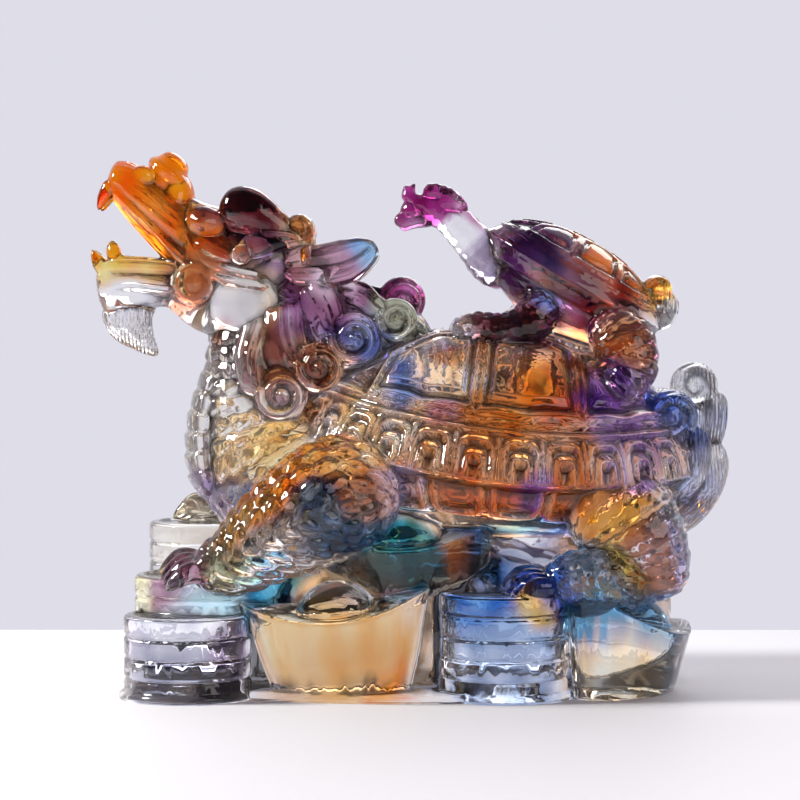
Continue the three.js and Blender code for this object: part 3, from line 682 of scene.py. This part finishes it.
# Melted colours: where each lump of coloured glass lay in the mould, how far it ran, and its colour; with
# the painted shade that darkens the grooves and the painted highlight that lightens the ridges
meltAndPaintedLight = {
    "spread": 1.0,
    # Painted shade darkens the colour in the grooves, and a painted highlight lightens it on the ridges
    "paintedGrooveShade": 0.9,
    "paintedRidgeHighlight": 0.35,
    "depth": 1.15,  # above 1 for a deeper, stronger tint
    "streaks": 0.9,
    "streakScale": (0.16, 0.16, 0.07),
    "seed": 5,  # of the noise that bends the borders
    "warp": 6.0,
    "warpScale": 0.055,
    "falloff": 2.6,  # how fast a colour fades beyond its reach
    "base": "#f4f3f8",
    "baseShare": 0.0005,
    "grooveDepth": 0.22,  # mm below the surroundings that count as a full groove
    "grooveRounds": 6,
    "lumps": [
        # Snout, jaws and beard
        ((-94, 0, 167), 15, "#ec7804"), ((-77, 0, 169), 13, "#f4920c"), ((-82, 0, 156), 11, "#f08808"),
        ((-70, -10, 146), 8, "#de700a"), ((-97, -5, 141), 8, "#f28c08"), ((-82, -7, 140), 8, "#ee8a14"),
        ((-94, 0, 127), 7, "#f3f1f6"), ((-80, -6, 126), 7, "#efeaf0"), ((-88, 0, 117), 10, "#f8f7fb"),
        # Disc, cheek, brow and fold
        ((-68, -12, 133), 7, "#dcb468"), ((-56, -14, 124), 7, "#c4bec8"), ((-46, -14, 128), 6, "#c8b498"),
        ((-59, -10, 117), 4, "#c87e4a"), ((-64, -12, 153), 6, "#500c0c"), ((-50, -8, 158), 10, "#44080e"),
        ((-60, -13, 143), 5, "#c04c0c"), ((-38, -8, 150), 6, "#6a1c28"), ((-46, -16, 145), 6, "#48203a"),
        ((-52, -17, 142), 3, "#e09f50"), ((-42, -15, 137), 5, "#8a84c0"), ((-33, -8, 152), 6, "#d08f4c"),
        ((-50, -18, 127), 6, "#b8b0a8"), ((-44, -17, 125), 5, "#c88430"), ((-52, -14, 118), 5, "#d8c8b8"),
        ((-58, -15, 120), 4, "#b8501c"), ((-57, -16, 129), 4, "#ded8cc"), ((-62, -8, 122), 6, "#ece4e0"),
        # Ear and mane
        ((-14, -16, 146), 7, "#9cc4ea"), ((-22, -14, 137), 7, "#c89ab0"), ((-32, -12, 136), 6, "#8a4a48"),
        ((-34, -12, 126), 10, "#5a2050"), ((-20, -12, 126), 9, "#6a2c50"), ((-44, -16, 112), 9, "#8a4828"),
        ((-38, -21, 97), 9, "#b8682c"), ((-26, -22, 106), 8, "#a05c34"), ((-14, -20, 115), 8, "#2c3c80"),
        ((-20, -16, 118), 6, "#4a2c5c"), ((-1, -12, 121), 7, "#8c9070"), ((1, 0, 129), 7, "#9a2a78"),
        # Chest and neck
        ((-52, -12, 104), 9, "#ebe3d8"), ((-56, -14, 90), 12, "#ece6da"), ((-44, -20, 92), 8, "#e6d8c6"),
        ((-42, -26, 80), 7, "#f0deb0"), ((-52, -20, 74), 9, "#ece0cc"), ((-58, -16, 62), 9, "#9a86b8"),
        ((-50, -22, 64), 6, "#3c5cc4"), ((-36, -26, 92), 7, "#d8c0b0"),
        # Front leg
        ((-28, -44, 84), 8, "#fa7a14"), ((-36, -50, 75), 10, "#ff7c18"), ((-44, -52, 64), 8, "#f87e1a"),
        ((-18, -50, 74), 8, "#d8701c"), ((-10, -52, 66), 8, "#7c3c24"), ((-26, -58, 60), 9, "#243450"),
        ((-20, -57, 51), 9, "#143c68"), ((-8, -52, 54), 8, "#1c4468"), ((-36, -57, 52), 7, "#7c7478"),
        ((-50, -50, 55), 7, "#dc8c24"), ((-54, -50, 44), 7, "#c8a060"), ((-64, -40, 44), 7, "#a46478"),
        ((-74, -38, 39), 8, "#74405c"),
        # Shell
        ((-12, -30, 94), 8, "#e8b878"), ((-4, -29, 99), 6, "#f2e0c0"), ((3, -31, 100), 7, "#3c74e0"),
        ((2, -44, 88), 7, "#e8d4b4"), ((15, -35, 100), 9, "#f8eedc"), ((12, -48, 89), 7, "#c88cb0"),
        ((24, -46, 92), 8, "#d08a48"), ((22, -30, 109), 7, "#dc9a58"), ((34, -48, 90), 9, "#d8701c"),
        ((30, -42, 101), 6, "#6c5c48"), ((43, -38, 103), 9, "#e06c0c"), ((50, -44, 92), 9, "#d04a0c"),
        ((56, -30, 106), 8, "#8c4820"),
        ((66, -34, 98), 8, "#54288c"), ((78, -28, 90), 9, "#b094d8"), ((86, -18, 82), 9, "#d8cce8"),
        ((-6, -40, 80), 8, "#d89148"), ((10, -48, 80), 8, "#c88d58"), ((30, -52, 78), 9, "#cc6828"),
        ((52, -46, 78), 9, "#cc7038"), ((70, -36, 78), 9, "#a890c8"),
        # Below the rim
        ((-2, -42, 68), 8, "#a890d0"), ((12, -48, 66), 7, "#c06b38"), ((26, -50, 66), 8, "#d05f20"),
        ((41, -50, 66), 5, "#6c3ca8"), ((52, -46, 66), 8, "#c85b1c"), ((64, -40, 66), 7, "#d09150"),
        # Hind leg
        ((70, -42, 56), 9, "#dca228"), ((80, -42, 46), 9, "#c0b4cc"), ((88, -34, 40), 9, "#c8c0dc"),
        ((70, -44, 40), 7, "#a08428"), ((58, -46, 40), 6, "#7c94a8"), ((46, -46, 36), 8, "#1c4cb4"),
        # Tail
        ((84, -20, 92), 8, "#1c48c8"), ((92, -20, 86), 8, "#3060d0"), ((98, -2, 100), 8, "#e8ecf4"),
        ((104, -4, 82), 8, "#d0d4ec"), ((96, -10, 68), 9, "#b0bce4"),
        # The young one
        ((4, 0, 160), 7, "#861c64"), ((14, 0, 160), 5, "#a82c88"), ((22, 0, 149), 6, "#ece8f4"),
        ((4, 0, 153), 4, "#b888b0"), ((25, -3, 155), 5, "#98206c"), ((33, -4, 149), 5, "#7c1c58"),
        ((32, 0, 142), 7, "#e0d8ec"), ((40, -8, 146), 10, "#34083c"), ((48, -12, 142), 9, "#3c1450"),
        ((56, -14, 143), 6, "#3c3458"), ((60, -14, 138), 7, "#5c2c2c"), ((66, -5, 148), 12, "#f88a14"),
        ((76, -8, 138), 10, "#ee7010"), ((70, -16, 140), 8, "#ec7410"), ((70, -18, 132), 8, "#6c1c14"),
        ((52, -22, 130), 8, "#3c3470"),
        ((52, -20, 136), 7, "#2c2458"), ((60, -21, 134), 7, "#4c2430"), ((44, -16, 134), 7, "#481858"),
        ((48, -22, 128), 5, "#4868c8"), ((58, -20, 124), 6, "#5c1c58"), ((66, -20, 122), 6, "#701c20"),
        ((82, -4, 128), 6, "#e0a230"), ((44, -18, 121), 8, "#3c1428"), ((30, -18, 118), 6, "#6c4048"),
        ((20, -18, 118), 5, "#e4e4ee"), ((72, -24, 112), 9, "#b06f3c"), ((88, -2, 131), 6, "#eab640"),
        ((88, -2, 124), 4, "#f0eee8"),
        # Coins and ingots
        ((-68, -50, 24), 11, "#c4c8d4"), ((-68, -50, 10), 11, "#84869c"), ((-84, -40, 16), 9, "#c8c0d0"),
        ((-52, -52, 18), 7, "#8c7c98"), ((-46, -36, 32), 7, "#0c6ca0"), ((-82, -22, 34), 9, "#e8dc9c"),
        ((-60, -38, 34), 8, "#8cc0d4"), ((-40, -24, 36), 9, "#0c70a0"), ((-72, 20, 48), 12, "#f0ece4"),
        ((-60, 30, 40), 10, "#e0985c"), ((-30, -54, 22), 10, "#ecd8a4"), ((-14, -54, 18), 10, "#e6c888"),
        ((-4, -54, 8), 6, "#e08024"), ((-20, -42, 34), 10, "#fbf3dc"), ((-30, -34, 26), 5, "#8c88b0"),
        ((-8, -34, 28), 7, "#7c4c80"), ((26, -54, 32), 9, "#1c50a0"), ((42, -54, 31), 6, "#e4a23c"),
        ((34, -56, 20), 9, "#7894b4"), ((34, -56, 8), 9, "#a0a8b8"), ((62, -44, 26), 9, "#3c98d8"),
        ((80, -36, 26), 9, "#5ca8e0"), ((72, -42, 12), 11, "#e8cc98"), ((3, -38, 46), 9, "#0c6488"),
        ((-8, -36, 44), 7, "#2c88a0"), ((20, -38, 48), 5, "#e88824"), ((30, -30, 46), 8, "#1c4c8c"),
        ((44, -34, 50), 8, "#2c68a4"), ((-14, -30, 50), 8, "#14688c"),
        # The far side
        ((36, 40, 20), 18, "#9cb0d0"), ((80, 26, 20), 16, "#c8b0a0"), ((-14, 44, 20), 18, "#d8a878"),
        ((30, 40, 90), 20, "#dc9c60"), ((0, 36, 92), 16, "#b8bcd4"), ((60, 32, 88), 16, "#8a5a90"),
        ((-30, 38, 66), 16, "#f0c890"), ((74, 34, 50), 16, "#b88258"), ((-40, 24, 100), 12, "#7a4a58"),
        ((-60, 12, 140), 12, "#a04a30"), ((-66, 34, 46), 14, "#e6dcc8"), ((40, 20, 60), 20, "#c8b8c8"),
        ((-48, 18, 84), 14, "#ece4d8"), ((-52, 14, 106), 9, "#e4dcd0"), ((-54, 14, 126), 9, "#ece6e0"),
        ((44, 12, 146), 12, "#44144c"), ((62, 14, 140), 10, "#c86020"), ((74, 8, 136), 10, "#c0500c"),
        ((14, 36, 98), 12, "#e8dccc"),
    ],
}


# Each place takes the colours that ran into it, along warped ways so that the borders wander
def meltedColours(places):
    noise.seed_set(meltAndPaintedLight["seed"])
    warped = np.empty_like(places)
    for i, p in enumerate(places):
        warped[i] = noise.noise_vector(Vector(p) * meltAndPaintedLight["warpScale"])
    finer = places + warped * meltAndPaintedLight["warp"]
    total = np.full(len(places), meltAndPaintedLight["baseShare"])
    colour = np.outer(total, linearColour(meltAndPaintedLight["base"]))
    for place, reach, hexCode in meltAndPaintedLight["lumps"]:
        d2 = ((finer - np.array(place)) ** 2).sum(axis=1) / (reach * meltAndPaintedLight["spread"]) ** 2
        w = np.exp(-meltAndPaintedLight["falloff"] * d2)
        total += w
        colour += np.outer(w, linearColour(hexCode))
    streak = np.array([noise.noise(Vector(p)) for p in places * meltAndPaintedLight["streakScale"]])
    depth = meltAndPaintedLight["depth"] * (1 + meltAndPaintedLight["streaks"] * streak)
    return (colour / total[:, None]) ** depth[:, None]


# How far each point of the skin lies below its surroundings, from 0 on the flat to 1 in a groove, and
# down to -1 on a ridge; this sets the painted shade in the grooves and the painted highlight on the ridges
def crevices(data, places, rounds):
    pairs = np.empty(len(data.edges) * 2, int)
    data.edges.foreach_get("vertices", pairs)
    a, b = pairs.reshape(-1, 2).T
    normals = np.empty(len(places) * 3)
    data.vertices.foreach_get("normal", normals)
    normals = normals.reshape(-1, 3)
    count = np.bincount(a, minlength=len(places)) + np.bincount(b, minlength=len(places))

    def average(values):
        sums = [np.bincount(a, column[b], len(places)) + np.bincount(b, column[a], len(places))
                for column in values.T]
        return np.stack(sums, axis=1) / np.maximum(count, 1)[:, None]

    smooth = places
    for _ in range(rounds):
        smooth = average(smooth)
    depth = ((smooth - places) * normals).sum(axis=1)[:, None]
    return np.clip(average(depth)[:, 0] / meltAndPaintedLight["grooveDepth"], -1, 1)


# Combed hair: where the mane, the beard and the tails lie, and how far each reaches
hair = {
    "places": [((-38, 0, 112), 19), ((-22, 0, 118), 17), ((-88, 0, 116), 11), ((98, 0, 84), 24),
               ((88, 0, 128), 7)],
    "strand": 1.25,  # from one strand to the next, in mm
    "proud": 0.35,
}


def hairMask(places):
    mask = np.zeros(len(places))
    for place, reach in hair["places"]:
        d = np.linalg.norm(places - np.array(place), axis=1)
        mask = np.maximum(mask, smoothStep(reach, reach * 0.75, d))
    return mask


# Writes the colours of the skin, darkened in the grooves as painted shade and lightened on the ridges as a
# painted highlight, with the hair in their fourth value
def paint(data, places):
    groove = crevices(data, places, meltAndPaintedLight["grooveRounds"])
    # Painted shade in the grooves, painted highlight on the ridges
    shade = 1 - meltAndPaintedLight["paintedGrooveShade"] * np.clip(groove, 0, 1) + meltAndPaintedLight["paintedRidgeHighlight"] * np.clip(-groove, 0, 1)
    colours = np.ones((len(places), 4))
    colours[:, :3] = np.clip(meltedColours(places) * shade[:, None], 0, 1)
    colours[:, 3] = hairMask(places)
    layer = data.color_attributes.new("meltAndPaintedLight", 'FLOAT_COLOR', 'POINT')
    layer.data.foreach_set("color", colours.ravel())


paint(turtle.data, places)
print("coloured:", len(meltAndPaintedLight["lumps"]), "lumps of glass")


# Adds a node with its settings and links
def node(tree, kind, values=(), links=(), **settings):
    made = tree.nodes.new(kind)
    for name, value in settings.items():
        setattr(made, name, value)
    for name, value in dict(values).items():
        made.inputs[name].default_value = value
    for name, source in dict(links).items():
        tree.links.new(source, made.inputs[name])
    return made


glass = {
    "transmission": 0.96,
    "roughness": 0.03,
    "ior": 1.5,
    "rippleScale": 0.12,  # waves per mm that the mould left
    "rippleHeight": 0.5,
    "rippleStrength": 0.2,
    "waveScale": 0.32,  # turns the spacing of the strands into the scale of the wave pattern
    "waveBend": 7.0,
}


# Cast and fire-polished soda-lime art glass: clear and wet-looking, its colours melted into one another. The
# ripple bends the reflections as a mould's skin does, and the waves draw the strands of the hair.
def castGlass():
    material = bpy.data.materials.new("castGlass")
    material.use_nodes = True
    tree = material.node_tree
    shader = tree.nodes["Principled BSDF"]
    shader.inputs["Transmission Weight"].default_value = glass["transmission"]
    shader.inputs["Roughness"].default_value = glass["roughness"]
    shader.inputs["IOR"].default_value = glass["ior"]
    # The colours read here carry the painted shade of the grooves and the painted highlight of the ridges
    colour = node(tree, "ShaderNodeAttribute", attribute_name="meltAndPaintedLight")
    tree.links.new(colour.outputs["Color"], shader.inputs["Base Color"])
    where = node(tree, "ShaderNodeTexCoord")
    ripple = node(tree, "ShaderNodeTexNoise", {"Scale": glass["rippleScale"] / mm, "Detail": 3.0},
                  {"Vector": where.outputs["Object"]})
    skin = node(tree, "ShaderNodeBump",
                {"Strength": glass["rippleStrength"], "Distance": glass["rippleHeight"] * mm},
                {"Height": ripple.outputs["Fac"]})
    strand = node(tree, "ShaderNodeTexWave",
                  {"Scale": glass["waveScale"] / hair["strand"] / mm, "Distortion": glass["waveBend"],
                   "Detail": 1.0, "Detail Scale": 0.25},
                  {"Vector": where.outputs["Object"]})
    held = node(tree, "ShaderNodeMath", links={0: strand.outputs["Fac"], 1: colour.outputs["Alpha"]},
                operation='MULTIPLY')
    combed = node(tree, "ShaderNodeBump", {"Strength": 1.0, "Distance": hair["proud"] * mm},
                  {"Height": held.outputs["Value"], "Normal": skin.outputs["Normal"]})
    tree.links.new(combed.outputs["Normal"], shader.inputs["Normal"])
    return material


turtle.data.materials.append(castGlass())
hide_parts("dragon_turtle_casting")
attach(turtle, "root")

# Studio: a white table whose far edge shows behind the figure, softboxes, and a pale wall of light
studio = {
    "tableBack": 150,
    "tableFront": -1500,
    "tableHalf": 2500,
    "table": "#ecebf0",
    "tableRoughness": 0.5,
    "wall": "#dedde8",
    "room": "#444250",
    "wallStart": 0.6,  # where the wall's colour is reached, from 0 at the sides to 1 straight behind
    "wallLight": 1.0,
    "aim": (0, 0, 80),
    # name, place, width, height, power and colour
    "softboxes": [
        ("key", (-640, -90, 470), 170, 170, 9.0, "#fffdf8"),
        ("fill", (500, -500, 350), 400, 400, 1.2, "#fff4ec"),
        ("back", (150, 420, 420), 500, 200, 1.2, "#ffffff"),
    ],
}


# Satin white laminate, pressed flat: one even pale plane with a soft sheen, so that the tints show on it
def whiteLaminate():
    material = bpy.data.materials.new("whiteLaminate")
    material.use_nodes = True
    shader = material.node_tree.nodes["Principled BSDF"]
    shader.inputs["Base Color"].default_value = [*linearColour(studio["table"]), 1]
    shader.inputs["Roughness"].default_value = studio["tableRoughness"]
    return material


def table():
    made = bmesh.new()
    bmesh.ops.create_grid(made, x_segments=1, y_segments=1, size=1)
    half = (studio["tableBack"] - studio["tableFront"]) / 2
    middle = (studio["tableBack"] - half) * mm
    bmesh.ops.scale(made, verts=made.verts, vec=(studio["tableHalf"] * mm, half * mm, 1))
    bmesh.ops.translate(made, verts=made.verts, vec=(0, middle, low[2] - 0.05 * mm))
    data = bpy.data.meshes.new("table")
    made.to_mesh(data)
    made.free()
    obj = bpy.data.objects.new("table", data)
    bpy.context.scene.collection.objects.link(obj)
    data.materials.append(whiteLaminate())


# Puts a lamp or a camera at a place in mm and turns it to its target
def aimAt(obj, place, target):
    obj.location = Vector(place) * mm
    obj.rotation_euler = (Vector(target) * mm - obj.location).to_track_quat('-Z', 'Y').to_euler()


def softbox(name, place, width, height, power, colour):
    lamp = bpy.data.lights.new(name, 'AREA')
    lamp.shape = 'RECTANGLE'
    lamp.size = width * mm
    lamp.size_y = height * mm
    lamp.energy = power
    lamp.color = linearColour(colour)
    obj = bpy.data.objects.new(name, lamp)
    bpy.context.scene.collection.objects.link(obj)
    aimAt(obj, place, studio["aim"])


# A pale wall behind the figure and a dim room on the camera's side, which gives clear glass its dark edges
def room():
    world = bpy.data.worlds.new("studio")
    bpy.context.scene.world = world
    world.use_nodes = True
    tree = world.node_tree
    sky = tree.nodes["Background"]
    direction = node(tree, "ShaderNodeTexCoord")
    split = node(tree, "ShaderNodeSeparateXYZ", links={"Vector": direction.outputs["Generated"]})
    ramp = node(tree, "ShaderNodeValToRGB", links={"Fac": split.outputs["Y"]})
    dim, pale = ramp.color_ramp.elements
    dim.position = 0.0
    dim.color = [*linearColour(studio["room"]), 1]
    pale.position = studio["wallStart"]
    pale.color = [*linearColour(studio["wall"]), 1]
    tree.links.new(ramp.outputs["Color"], sky.inputs["Color"])
    sky.inputs["Strength"].default_value = studio["wallLight"]


table()
for lamp in studio["softboxes"]:
    softbox(*lamp)
room()
print("studio:", len(studio["softboxes"]), "softboxes")

# The camera stands where the photograph was taken from: straight on, a little above the middle
view = {
    "place": (0, -900, 120),
    "aim": (0, 0, 94),
    "lens": 121.5,
    "sensor": 36,
}


def photoCamera():
    camera = bpy.data.cameras.new("camera")
    camera.lens = view["lens"]
    camera.sensor_width = view["sensor"]
    viewer = bpy.data.objects.new("camera", camera)
    bpy.context.scene.collection.objects.link(viewer)
    aimAt(viewer, view["place"], view["aim"])
    bpy.context.scene.camera = viewer


photoCamera()
scene = bpy.context.scene
scene.view_settings.view_transform = 'Standard'  # keeps the strong orange from fading to salmon
scene.cycles.max_bounces = 24  # light crosses many folds of glass
scene.cycles.transmission_bounces = 24
scene.cycles.transparent_max_bounces = 8
